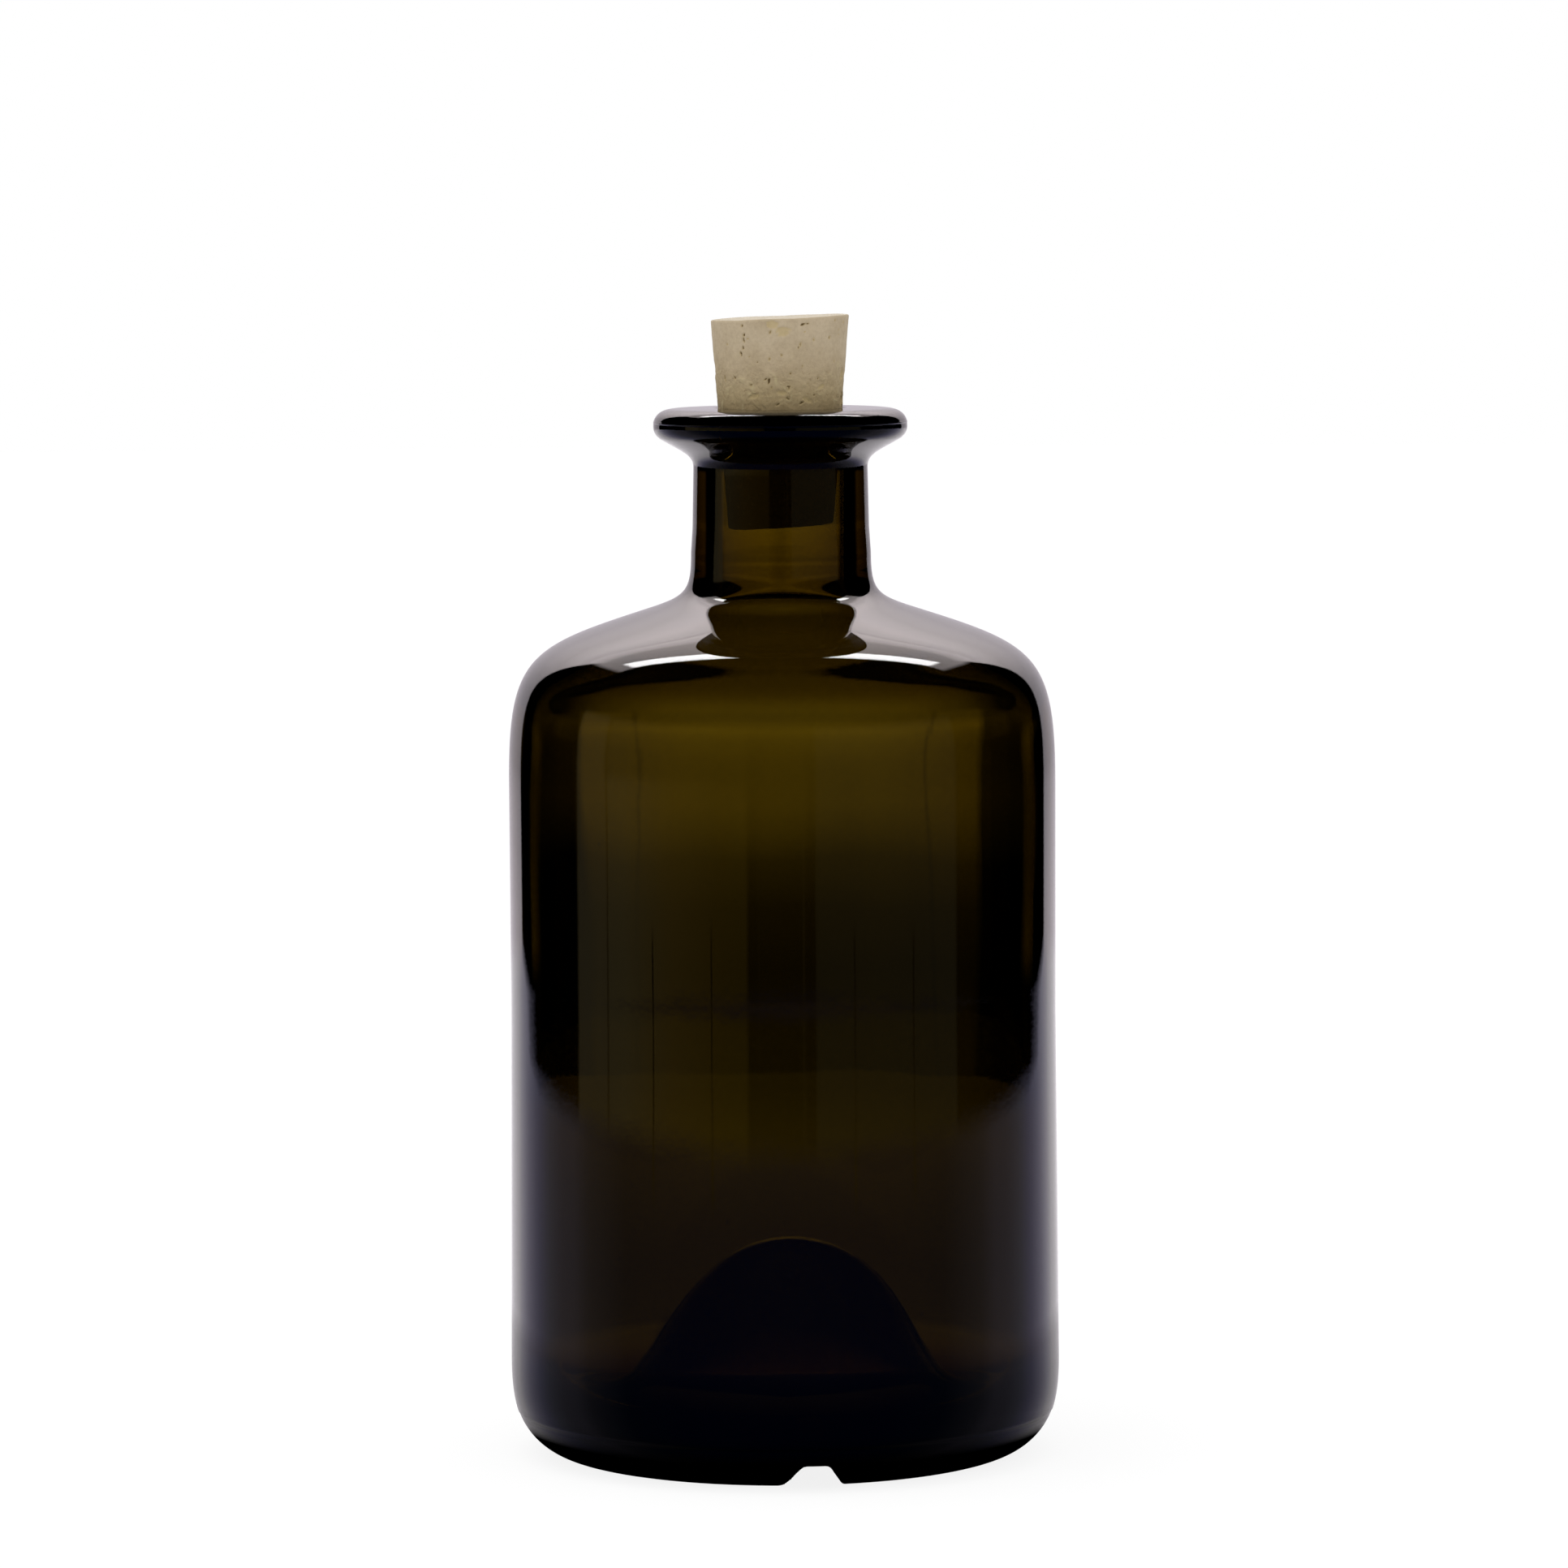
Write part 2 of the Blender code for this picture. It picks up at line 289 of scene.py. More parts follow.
for vert in glass.verts:
    if vert.co.z < JUST_ABOVE_PUNT:
        vert.co.x += PUNT_ASIDE * (1 - smooth_step(PUNT_CORE_R, RING_INNER_R * MM, vert.co.xy.length))
glass.normal_update()
for vert in glass.verts:
    size = INNER_WAVE if vert[pen.inner] else OUTER_WAVE
    calm = 1 - smooth_step(NECK_WAVE_FOOT, NECK_WAVE_TOP, vert.co.z)
    wave = noise.noise(Vector((vert.co.x, vert.co.y, vert.co.z * 0.6)) / WAVE_SIZE)
    vert.co += vert.normal * size * calm * wave

# %% [markdown]
# ## Seeds
# Old furnaces and recycled glass leave tiny bubbles in the wall, which glassmakers call seeds. Each is a
# small ball of air, drawn out a little in the direction in which the glass was blown. An icosphere in
# the middle of the wall will do, as long as it is inside out: its air side is its inside.

# %% Seeds in the wall
random.seed(41)
SEED_COUNT = 16
SEED_STRETCH = 1.5
wall_middle = (BODY_R - WALL / 2) * MM


def add_seed(turn, z, size):
    place = Vector((math.sin(turn), -math.cos(turn), 0)) * wall_middle + Vector((0, 0, z))
    stretched = Matrix.Translation(place) @ Matrix.Diagonal((1, 1, SEED_STRETCH, 1))
    made = bmesh.ops.create_icosphere(glass, subdivisions=2, radius=size, matrix=stretched)
    bmesh.ops.reverse_faces(glass, faces=list({f for v in made["verts"] for f in v.link_faces}))


for turn, z in ((-42, 99), (-42, 18), (23, 89), (38, 89), (-12, 42), (30, 27)):
    add_seed(math.radians(turn), z * MM, 0.17 * MM)
for _ in range(SEED_COUNT):
    add_seed(random.uniform(0.8, 5.4), random.uniform(22, 104) * MM, random.uniform(0.09, 0.2) * MM)
print("glass with its seeds has", len(glass.faces), "faces")

# %% [markdown]
# ## From bmesh to object
# Both pieces need the same last steps: the faces go into a mesh, the mesh gets smooth shading and its
# material, the piece hangs under the root body, and the plain solid of the imported model is hidden. One
# helper does it all.

# %% Helpers for pieces and materials
def make_piece(shape, name, node, material):
    mesh = bpy.data.meshes.new(name)
    shape.to_mesh(mesh)
    shape.free()
    mesh.materials.append(material)
    mesh.shade_smooth()
    piece = bpy.data.objects.new(name, mesh)
    bpy.context.scene.collection.objects.link(piece)
    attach(piece, "root")
    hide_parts(node)
    mesh.calc_loop_triangles()
    print(name, "has", len(mesh.loop_triangles), "triangles")


def add_node(tree, kind, inputs=None, **settings):
    """Adds a shader node. An input's value is a number, a colour, or a socket to link from."""
    node = tree.nodes.new("ShaderNode" + kind)
    for name, value in settings.items():
        setattr(node, name, value)
    for name, value in (inputs or {}).items():
        if isinstance(value, bpy.types.NodeSocket):
            tree.links.new(value, node.inputs[name])
        else:
            node.inputs[name].default_value = value
    return node


def new_material(name):
    material = bpy.data.materials.new(name)
    material.use_nodes = True
    material.node_tree.nodes.clear()
    return material, material.node_tree


def ramp(tree, value, stops, interpolation="LINEAR"):
    """A colour ramp through stops of (position, grey) or (position, (red, green, blue))."""
    node = add_node(tree, "ValToRGB", {"Fac": value})
    node.color_ramp.interpolation = interpolation
    elements = node.color_ramp.elements
    while len(elements) < len(stops):
        elements.new(0.5)
    for element, (position, colour) in zip(elements, stops):
        element.position = position
        if not isinstance(colour, tuple):
            colour = (colour, colour, colour)
        element.color = (*colour, 1)
    return node.outputs["Color"]


# %% [markdown]
# ## Dark green glass
# Bottle glass isn't green on its surface. Light is absorbed on its way through, red a little, green a
# little more and blue almost at once, so a thin edge looks light and two walls look like dark olive.
# Volume Absorption does exactly that with the true thickness of the mesh. On the surface the glass only
# mirrors and refracts. A fine bump in two sizes stands for the skin that the mould left on it.

# %% Glass material
ABSORPTION = 1000
GLASS_TINT = (0.60, 0.52, 0.0, 1)

glass_material, tree = new_material("dark_green_glass")
place = add_node(tree, "TexCoord").outputs["Object"]
drawn_out = add_node(tree, "Mapping", {"Vector": place, "Scale": (1, 1, 0.25)}).outputs["Vector"]
skin = add_node(tree, "TexNoise", {"Vector": drawn_out, "Scale": 260, "Detail": 2}).outputs["Fac"]
grains = add_node(tree, "TexNoise", {"Vector": place, "Scale": 1100, "Detail": 3}).outputs["Fac"]
skin_bump = add_node(tree, "Bump", {"Height": skin, "Strength": 0.5, "Distance": 0.01 * MM})
glass_bump = add_node(tree, "Bump", {"Height": grains, "Strength": 0.5, "Distance": 0.0015 * MM,
                                     "Normal": skin_bump.outputs["Normal"]})
film = add_node(tree, "TexNoise", {"Vector": place, "Scale": 34, "Detail": 6}).outputs["Fac"]
glass_shader = add_node(tree, "BsdfPrincipled", {
    "Base Color": (1, 1, 1, 1), "Transmission Weight": 1, "IOR": 1.52,
    "Roughness": ramp(tree, film, [(0.45, 0.0), (0.85, 0.03)]),
    "Normal": glass_bump.outputs["Normal"]})
absorption = add_node(tree, "VolumeAbsorption", {"Color": GLASS_TINT, "Density": ABSORPTION})
add_node(tree, "OutputMaterial", {
    "Surface": glass_shader.outputs["BSDF"], "Volume": absorption.outputs["Volume"]})

make_piece(glass, "glass_bottle", "bottle", glass_material)

# %% [markdown]
# ## The cork
# A natural cork is punched out of bark and turned to a taper. It could be a cone with a rough material,
# but its charm is in real holes: pores of the bark, torn corners and grains. So the same pen draws its
# outline densely, and then dents are pushed in where the real one has them, and at random elsewhere.
# Both ends were sawn a little askew, so the top and the foot are each tilted to one side.

# %% Cork outline
CORK_TOP_R = 10.85
CORK_FOOT_R = 8.3
CORK_FOOT_Z = 146.0
CORK_TOP_Z = 178.8
CORK_TILT = 0.036
CORK_FOOT_TILT = 0.06
CORK_EDGE_R = 0.35
CORK_ROWS = 180
CORK_COLUMNS = 380
TOP_TILT_FROM = 160 * MM
FOOT_TILT_TO = 152 * MM

cork_pen = Pen(0, CORK_FOOT_Z)
cork_pen.line(CORK_FOOT_R - 0.5, CORK_FOOT_Z, 14)
cork_pen.curve((CORK_FOOT_R - 0.2, CORK_FOOT_Z), (CORK_FOOT_R, CORK_FOOT_Z + 0.2),
               (CORK_FOOT_R, CORK_FOOT_Z + 0.5), 4)
cork_pen.line(CORK_TOP_R, CORK_TOP_Z - CORK_EDGE_R, CORK_ROWS)
cork_pen.arc(CORK_TOP_R - CORK_EDGE_R, CORK_TOP_Z - CORK_EDGE_R, -90, 4)
cork_pen.line(0, CORK_TOP_Z, 30)
cork = spun(cork_pen.drawing, 0, [(math.tau, CORK_COLUMNS)])
for vert in cork.verts:
    top_share = smooth_step(TOP_TILT_FROM, CORK_TOP_Z * MM, vert.co.z)
    foot_share = 1 - smooth_step(CORK_FOOT_Z * MM, FOOT_TILT_TO, vert.co.z)
    vert.co.z += (CORK_TILT * top_share + CORK_FOOT_TILT * foot_share) * vert.co.x
print("cork has", len(cork.faces), "faces")

# %% [markdown]
# ## Pores and torn corners
# Every dent is an oval patch that pushes the skin in. A pore is deep and brown, while a torn patch is
# shallow, rough and pale. So each dent has a depth and a darkness, and both reach the material as an
# attribute of the mesh, which colours the same holes without guessing where they are.

# %% Dents
random.seed(7)
dents = []


def add_dent(turn, z, width, height, depth, lean=0, dark=1):
    """turn is in degrees to the right of the front; sizes are in millimetres."""
    angle = math.radians(turn)
    dents.append((Vector((math.sin(angle), -math.cos(angle))), z * MM, width * MM, height * MM,
                  depth * MM, math.radians(lean), dark))


PORES = (
    (-33, 177.6, 0.22, 0.2, 0.3, 0), (-31.5, 176.2, 0.16, 0.3, 0.3, 0), (-32, 175.4, 0.15, 0.5, 0.35, 18),
    (-33, 174.2, 0.15, 0.45, 0.3, 12), (-35.5, 173.3, 0.15, 0.45, 0.3, 18), (-58, 169.3, 0.16, 0.55, 0.35, 0),
    (-44, 169.5, 0.14, 0.3, 0.3, 15), (-10, 169.0, 0.16, 0.5, 0.35, -8), (-13, 169.3, 0.3, 0.13, 0.2, 30),
    (9, 170.2, 0.13, 0.16, 0.25, 0), (20, 177.8, 0.42, 0.13, 0.35, 14), (24, 177.9, 0.16, 0.16, 0.3, 0),
    (16, 174.2, 0.14, 0.14, 0.2, 0), (8, 168.2, 0.5, 0.12, 0.2, 12), (20, 165.6, 0.55, 0.14, 0.25, 25),
    (7, 166.3, 0.4, 0.13, 0.2, -20), (36, 169.4, 0.14, 0.14, 0.2, 0), (-20, 172.0, 0.12, 0.14, 0.15, 0),
    (-27, 168.4, 0.3, 0.12, 0.18, -15), (-2, 165.4, 0.45, 0.13, 0.2, 10), (33, 166.8, 0.3, 0.13, 0.2, -20))
TORN_PATCHES = (
    (-6, 177.8, 1.1, 0.7, 0.16, 0), (3, 176.8, 1.3, 0.9, 0.14, 10), (81, 165.9, 1.3, 1.1, 0.5, 0),
    (74, 169.6, 0.9, 1.3, 0.25, 0), (-88, 170.8, 1.2, 1.4, 0.2, 0), (26, 166.0, 1.1, 0.45, 0.13, -25),
    (-24, 166.6, 1.2, 0.5, 0.12, 15), (2, 167.2, 0.9, 0.4, 0.1, 0), (40, 168.0, 0.8, 0.4, 0.1, 20))
SMALL_DENTS = 150
BACK_PORES = 22

for pore in PORES:
    add_dent(*pore)
for patch in TORN_PATCHES:
    add_dent(*patch, 0.3)
for _ in range(SMALL_DENTS):
    add_dent(random.uniform(-180, 180), random.uniform(145, 178.6), random.uniform(0.12, 0.22),
             random.uniform(0.12, 0.35), random.uniform(0.06, 0.2), random.uniform(-40, 40), 0.6)
for _ in range(BACK_PORES):
    add_dent(random.uniform(80, 290), random.uniform(147, 178), random.uniform(0.15, 0.4),
             random.uniform(0.4, 1.3), random.uniform(0.2, 0.45), random.uniform(-20, 20))
dents.sort(key=lambda dent: dent[1])
print("cork gets", len(dents), "dents")

# %% Push the dents in
GRAIN = 0.035 * MM
LUMPS = 0.07 * MM
UNEVEN = 0.10 * MM
REACH = 2.2 * MM
ROUGH_BELOW = 172 * MM

cork.normal_update()
pit = cork.verts.layers.float.new("pit")
# The second layer holds painted light: it is high where the skin faces up or down.
painted_end_light = cork.verts.layers.float.new("painted_end_light")
dent_heights = [dent[1] for dent in dents]
for vert in cork.verts:
    r = vert.co.xy.length
    height = vert.co.z
    ragged = noise.noise(vert.co / (0.5 * MM)) * 0.4
    depth = 0
    darkness = 0
    if r > 6 * MM:
        outward = vert.co.xy / r
        first = bisect.bisect_left(dent_heights, height - REACH)
        last = bisect.bisect_right(dent_heights, height + REACH)
        for facing, z, width, tall, dent_depth, lean, dark in dents[first:last]:
            if outward.dot(facing) < 0.975:
                continue
            across = r * outward.cross(facing) * -1
            along = height - z
            u = (across * math.cos(lean) + along * math.sin(lean)) / width
            v = (along * math.cos(lean) - across * math.sin(lean)) / tall
            share = 1 - smooth_step(0.55, 1.15, math.sqrt(u * u + v * v) + ragged)
            depth = max(depth, dent_depth * share)
            darkness = max(darkness, dark * share)
    vert[pit] = darkness
    vert[painted_end_light] = abs(vert.normal.z)
    rough = 1 - 0.7 * smooth_step(ROUGH_BELOW - 3 * MM, ROUGH_BELOW + 2 * MM, height)
    slow = noise.noise(vert.co / (4.5 * MM)) * UNEVEN
    lumps = noise.noise(vert.co / (1.3 * MM)) * LUMPS * rough
    quick = noise.noise(vert.co / (0.5 * MM)) * GRAIN * rough
    vert.co += vert.normal * (slow + lumps + quick - UNEVEN * 0.5 - depth)
print("cork has", sum(v[pit] > 0.5 for v in cork.verts), "vertices in dark pores")

# %% [markdown]
# ## Cork skin
# Cork is made of small cells in pale beige. Its upper part is smooth and a little pink, and lower down
# it gets rougher, with pale grains and curled brown seams, and a painted shade makes it darker and
# yellower. Noises of different sizes mix the beige, the height tints it with that painted shade, and the
# attribute from the dents first yellows a torn patch and then darkens a pore. A second attribute is high
# where the skin faces up or down, and there the colour is paler: painted light on the top and the foot.

# %% Cork colours
CORK_PALE = (0.465, 0.378, 0.262)
CORK_BEIGE = (0.395, 0.315, 0.207)
CORK_GRAIN = (0.50, 0.42, 0.24, 1)
CORK_SEAM = (0.20, 0.135, 0.06, 1)
CORK_TORN = (0.43, 0.33, 0.16, 1)
CORK_END_LIGHT = (0.62, 0.55, 0.44, 1)
CORK_HOLE = (0.12, 0.075, 0.03, 1)
HEIGHT_SHADE_FROM = 160 * MM
HEIGHT_SHADE_TO = 180 * MM


def mixed(tree, share, first, second, blend="MIX"):
    colours = {"Fac": share, "Color1": first, "Color2": second}
    return add_node(tree, "MixRGB", colours, blend_type=blend).outputs["Color"]


cork_material, tree = new_material("natural_cork")
place = add_node(tree, "TexCoord").outputs["Object"]
patches = add_node(tree, "TexNoise", {
    "Vector": place, "Scale": 190, "Detail": 5, "Roughness": 0.6}).outputs["Fac"]
cells = add_node(tree, "TexNoise", {
    "Vector": place, "Scale": 1500, "Detail": 4, "Roughness": 0.7}).outputs["Fac"]
base = ramp(tree, patches, [(0.34, CORK_BEIGE), (0.66, CORK_PALE)])
speckle = ramp(tree, cells, [(0.32, 0.90), (0.52, 1.0), (0.72, 1.05)])
toned = mixed(tree, 1, base, speckle, "MULTIPLY")
level = add_node(tree, "SeparateXYZ", {"Vector": place}).outputs["Z"]
level = add_node(tree, "MapRange", {
    "Value": level, "From Min": HEIGHT_SHADE_FROM, "From Max": HEIGHT_SHADE_TO}).outputs["Result"]
# Painted shade: by height, the lower cork is tinted darker and yellower than its top.
height_shade = ramp(tree, level, [(0.18, (0.66, 0.60, 0.44)), (0.34, (0.90, 0.86, 0.69)), (0.56, (0.97, 0.95, 0.90)),
                          (0.76, (1.0, 1.0, 1.0))])
toned = mixed(tree, 1, toned, height_shade, "MULTIPLY")

# %% Grains, seams and pores
lower_part = ramp(tree, level, [(0.46, 1.0), (0.68, 0.12)])
bark = add_node(tree, "TexNoise", {
    "Vector": place, "Scale": 520, "Detail": 3, "Distortion": 1.2}).outputs["Fac"]
grain_share = mixed(tree, 1, ramp(tree, bark, [(0.58, 0.0), (0.72, 0.6)]), lower_part, "MULTIPLY")
flat_lying = add_node(tree, "Mapping", {"Vector": place, "Scale": (1, 1, 1.9)}).outputs["Vector"]
curls = add_node(tree, "TexNoise", {
    "Vector": flat_lying, "Scale": 300, "Detail": 2, "Distortion": 2.2}).outputs["Fac"]
seams = ramp(tree, curls, [(0.475, 0.0), (0.49, 0.5), (0.505, 0.0)])
seam_share = mixed(tree, 1, seams, lower_part, "MULTIPLY")
pit_share = add_node(tree, "Attribute", attribute_name="pit").outputs["Fac"]
end_light_share = add_node(tree, "Attribute", attribute_name="painted_end_light").outputs["Fac"]
# Painted light: where the skin faces up or down, on the top and the foot, the colour is lightened.
ends_lit = mixed(tree, ramp(tree, end_light_share, [(0.7, 0.0), (0.95, 0.85)]), toned, CORK_END_LIGHT)
grained = mixed(tree, grain_share, ends_lit, CORK_GRAIN)
seamed = mixed(tree, seam_share, grained, CORK_SEAM)
torn = mixed(tree, ramp(tree, pit_share, [(0.05, 0.0), (0.25, 0.6)]), seamed, CORK_TORN)
holed = mixed(tree, ramp(tree, pit_share, [(0.35, 0.0), (0.80, 0.92)]), torn, CORK_HOLE)

# %% Cork surface
cell_bump = add_node(tree, "Bump", {"Height": cells, "Strength": 0.5, "Distance": 0.04 * MM})
bark_height = mixed(tree, 1, bark, lower_part, "MULTIPLY")
channel_bump = add_node(tree, "Bump", {"Height": bark_height, "Strength": 0.7, "Distance": 0.35 * MM,
                                       "Normal": cell_bump.outputs["Normal"]})
cork_shader = add_node(tree, "BsdfPrincipled", {
    "Base Color": holed, "Specular IOR Level": 0.25,
    "Roughness": ramp(tree, cells, [(0.3, 0.95), (0.7, 0.78)]),
    "Normal": channel_bump.outputs["Normal"]})
add_node(tree, "OutputMaterial", {"Surface": cork_shader.outputs["BSDF"]})

make_piece(cork, "cork_stopper", "cork", cork_material)

# %% [markdown]
# ## The studio: a pale floor
# The bottle stands on a white table in front of white. A floor of pure paint would turn grey in the
# bottle's shade, so part of its light is its own glow, and only a soft shadow is left under the foot.

# %% Helper for the set
def add_stage(shape, name, material, seen_by):
    """Puts a piece of the studio in place. seen_by names the rays that meet it."""
    mesh = bpy.data.meshes.new(name)
    shape.to_mesh(mesh)
    shape.free()
    mesh.materials.append(material)
    card = bpy.data.objects.new(name, mesh)
    bpy.context.scene.collection.objects.link(card)
    for ray in ("camera", "diffuse", "glossy", "transmission", "shadow", "volume_scatter"):
        setattr(card, "visible_" + ray, ray in seen_by)


# %% Floor
FLOOR_R = 4
FLOOR_GLOW = 0.86
FLOOR_PAINT = 0.16

floor_material, tree = new_material("pale_floor")
paint = add_node(tree, "BsdfDiffuse", {"Color": (FLOOR_PAINT, FLOOR_PAINT, FLOOR_PAINT, 1)})
glow = add_node(tree, "Emission", {"Color": (1, 1, 1, 1), "Strength": FLOOR_GLOW})
both = add_node(tree, "AddShader")
tree.links.new(paint.outputs["BSDF"], both.inputs[0])
tree.links.new(glow.outputs["Emission"], both.inputs[1])
add_node(tree, "OutputMaterial", {"Surface": both.outputs["Shader"]})
disc = bmesh.new()
bmesh.ops.create_circle(disc, cap_ends=True, segments=96, radius=FLOOR_R)
add_stage(disc, "floor", floor_material, ("camera", "diffuse"))

# %% [markdown]
# ## What shows through the glass
# Looking through dark glass, one sees the set behind it: a table that is nearly black round the foot,
# where the bottle's shadow is painted on it, and above it a window of light about as wide as the bottle.
# They are cards that only light through the glass meets. The card is a drum, with the same window
# repeated all round, so every side of the bottle has one behind it. Two thin dark lines in each window
# are its frame. Higher up, behind the bottle, the light is a narrow strip between two dark ones.

# %% Drum with windows
DRUM_R = 0.5
DRUM_H = 0.7
WINDOW_HALF = math.radians(9.8)
WINDOW_EDGE = math.radians(0.5)
WINDOW_STEP = math.radians(45)
RAMP_TOP = 0.2
ROOM_BELOW = 0.24
DARK_ABOVE = 0.32

drum_material, tree = new_material("windows_behind_glass")
place = add_node(tree, "TexCoord").outputs["Object"]
axes = add_node(tree, "SeparateXYZ", {"Vector": place})
turn = add_node(tree, "Math", {
    0: axes.outputs["X"], 1: axes.outputs["Y"]}, operation="ARCTAN2").outputs["Value"]
folded = add_node(tree, "Math", {0: turn, 1: WINDOW_STEP / 2}, operation="ADD").outputs["Value"]
folded = add_node(tree, "Math", {0: folded, 1: WINDOW_STEP}, operation="FLOORED_MODULO").outputs["Value"]
folded = add_node(tree, "Math", {0: folded, 1: WINDOW_STEP / 2}, operation="SUBTRACT").outputs["Value"]
aside = add_node(tree, "Math", {0: folded}, operation="ABSOLUTE").outputs["Value"]
in_window = add_node(tree, "MapRange", {
    "Value": aside, "From Min": WINDOW_HALF + WINDOW_EDGE,
    "From Max": WINDOW_HALF - WINDOW_EDGE}).outputs["Result"]
height = add_node(tree, "MapRange", {"Value": axes.outputs["Z"], "From Max": RAMP_TOP}).outputs["Result"]
window_light = ramp(tree, height, [
    (0.03, 0.07), (0.11, 0.05), (0.18, 0.085), (0.235, 0.19), (0.29, 0.54), (0.325, 0.72),
    (0.355, 0.95), (0.375, 0.85), (0.44, 0.62), (0.60, 0.60)])
room_light = ramp(tree, height, [(0.235, 0.0), (0.33, 0.13), (0.40, 0.2), (0.55, 0.2)])
from_back = add_node(tree, "Math", {0: turn}, operation="ABSOLUTE").outputs["Value"]
from_back = add_node(tree, "MapRange", {"Value": from_back, "From Max": math.pi}).outputs["Result"]
across_window = add_node(tree, "MapRange", {"Value": aside, "From Max": WINDOW_HALF}).outputs["Result"]
window_frame = ramp(tree, across_window, [(0.655, 1.0), (0.662, 0.7), (0.674, 0.7), (0.68, 1.0)])
window_light = mixed(tree, 1, window_light, window_frame, "MULTIPLY")
low_light = mixed(tree, in_window, room_light, window_light)
dimmer_aside = ramp(tree, from_back, [(0.11, 1.0), (0.14, 0.6), (0.17, 0.25), (0.33, 0.25), (0.40, 0.7)])
low_light = mixed(tree, 1, low_light, dimmer_aside, "MULTIPLY")
high_light = ramp(tree, from_back, [
    (0.030, 0.7), (0.055, 0.2), (0.075, 0.03), (0.34, 0.0), (0.37, 0.7), (1.0, 0.7)])
high_up = ramp(tree, height, [(0.50, 0.0), (0.58, 1.0)])
drum_light = mixed(tree, high_up, low_light, high_light)
room_end = add_node(tree, "MapRange", {
    "Value": axes.outputs["Z"], "From Min": DARK_ABOVE, "From Max": ROOM_BELOW, "To Min": 0.05})
drum_light = mixed(tree, 1, drum_light, room_end.outputs["Result"], "MULTIPLY")

# %% [markdown]
# The thick foot of the neck bends light down, to the part of the drum that the body shows too. But the
# neck is bright over its full width there, and the body isn't. The neck is thinner, so light leaves it
# further from the drum than it leaves the body, and the length of its way tells the two apart.

# %% Light for the neck
NECK_LIGHT = 1.5
SHORTEST_WAY = 0.481
SURE_WAY = 0.484

way = add_node(tree, "LightPath").outputs["Ray Length"]
from_neck = add_node(tree, "MapRange", {
    "Value": way, "From Min": SHORTEST_WAY, "From Max": SURE_WAY}).outputs["Result"]
neck_light = ramp(tree, height, [
    (0.10, 0.0), (0.14, 0.70), (0.37, 0.70), (0.40, 0.9), (0.465, 0.9), (0.485, 0.63),
    (0.52, 0.58), (0.56, 0.54), (0.66, 0.54), (0.70, 0.0)])
neck_width = ramp(tree, from_back, [
    (0.005, 0.8), (0.010, 1.0), (0.145, 1.0), (0.19, 0.0), (0.40, 0.0), (0.44, 0.5), (1.0, 0.5)])
neck_light = mixed(tree, 1, neck_light, neck_width, "MULTIPLY")
drum_light = mixed(tree, from_neck, drum_light, neck_light)
strength = add_node(tree, "MapRange", {
    "Value": from_neck, "To Min": 1.0, "To Max": NECK_LIGHT}).outputs["Result"]

# %% Put the drum up
glow = add_node(tree, "Emission", {"Color": drum_light, "Strength": strength})
add_node(tree, "OutputMaterial", {"Surface": glow.outputs["Emission"]})
drum = bmesh.new()
bmesh.ops.create_cone(drum, segments=128, radius1=DRUM_R, radius2=DRUM_R, depth=DRUM_H,
                      matrix=Matrix.Translation((0, 0, DRUM_H / 2)))
add_stage(drum, "drum_with_windows", drum_material, ("transmission",))

# %% Table behind the glass
FOOT_SHADE_HALF = 20 * MM
FOOT_LIGHT_HALF = 25 * MM
BACK_HALF = math.radians(45)
SIDES_FROM = math.radians(62)

table_material, tree = new_material("table_behind_glass")
place = add_node(tree, "TexCoord").outputs["Object"]
away = add_node(tree, "VectorMath", {0: place}, operation="LENGTH").outputs["Value"]
away = add_node(tree, "MapRange", {"Value": away, "From Max": DRUM_R}).outputs["Result"]
axes = add_node(tree, "SeparateXYZ", {"Vector": place})
aside = add_node(tree, "Math", {0: axes.outputs["X"]}, operation="ABSOLUTE").outputs["Value"]
# Painted shadow: round the foot the table card is nearly black, as the bottle's shadow, with light only
# beside the foot.
beside_foot = add_node(tree, "MapRange", {
    "Value": aside, "From Min": FOOT_SHADE_HALF, "From Max": FOOT_LIGHT_HALF}).outputs["Result"]
near_foot = ramp(tree, away, [(0.06, 0.0), (0.09, 0.45), (0.13, 0.35), (0.20, 0.13)])
near_light = mixed(tree, 1, near_foot, beside_foot, "MULTIPLY")
far_light = ramp(tree, away, [
    (0.25, 0.12), (0.40, 0.105), (0.49, 0.11), (0.63, 0.145), (0.78, 0.20), (0.94, 0.137)])
near = ramp(tree, away, [(0.19, 1.0), (0.24, 0.0)])
back_light = mixed(tree, near, far_light, near_light)
turn = add_node(tree, "Math", {
    0: axes.outputs["X"], 1: axes.outputs["Y"]}, operation="ARCTAN2").outputs["Value"]
turn = add_node(tree, "Math", {0: turn}, operation="ABSOLUTE").outputs["Value"]
elsewhere = add_node(tree, "MapRange", {"Value": turn, "From Min": BACK_HALF, "From Max": SIDES_FROM})
other_light = ramp(tree, away, [(0.10, 0.02), (0.30, 0.35), (1.0, 0.5)])
light = mixed(tree, elsewhere.outputs["Result"], back_light, other_light)
glow = add_node(tree, "Emission", {"Color": light, "Strength": 1})
add_node(tree, "OutputMaterial", {"Surface": glow.outputs["Emission"]})
disc = bmesh.new()
bmesh.ops.create_circle(disc, cap_ends=True, segments=128, radius=DRUM_R)
add_stage(disc, "table_behind_glass", table_material, ("transmission",))

# %% [markdown]
# ## The shade that the heel mirrors
# The heel mirrors the table from very near, where the bottle's own foot keeps the light away. A disc
# that only mirrored light meets stands for that shade: black at the foot, and clearing with distance,
# so that further out the light of the mirrored table comes through it.

# %% Shade round the foot
SHADE_R = 0.18

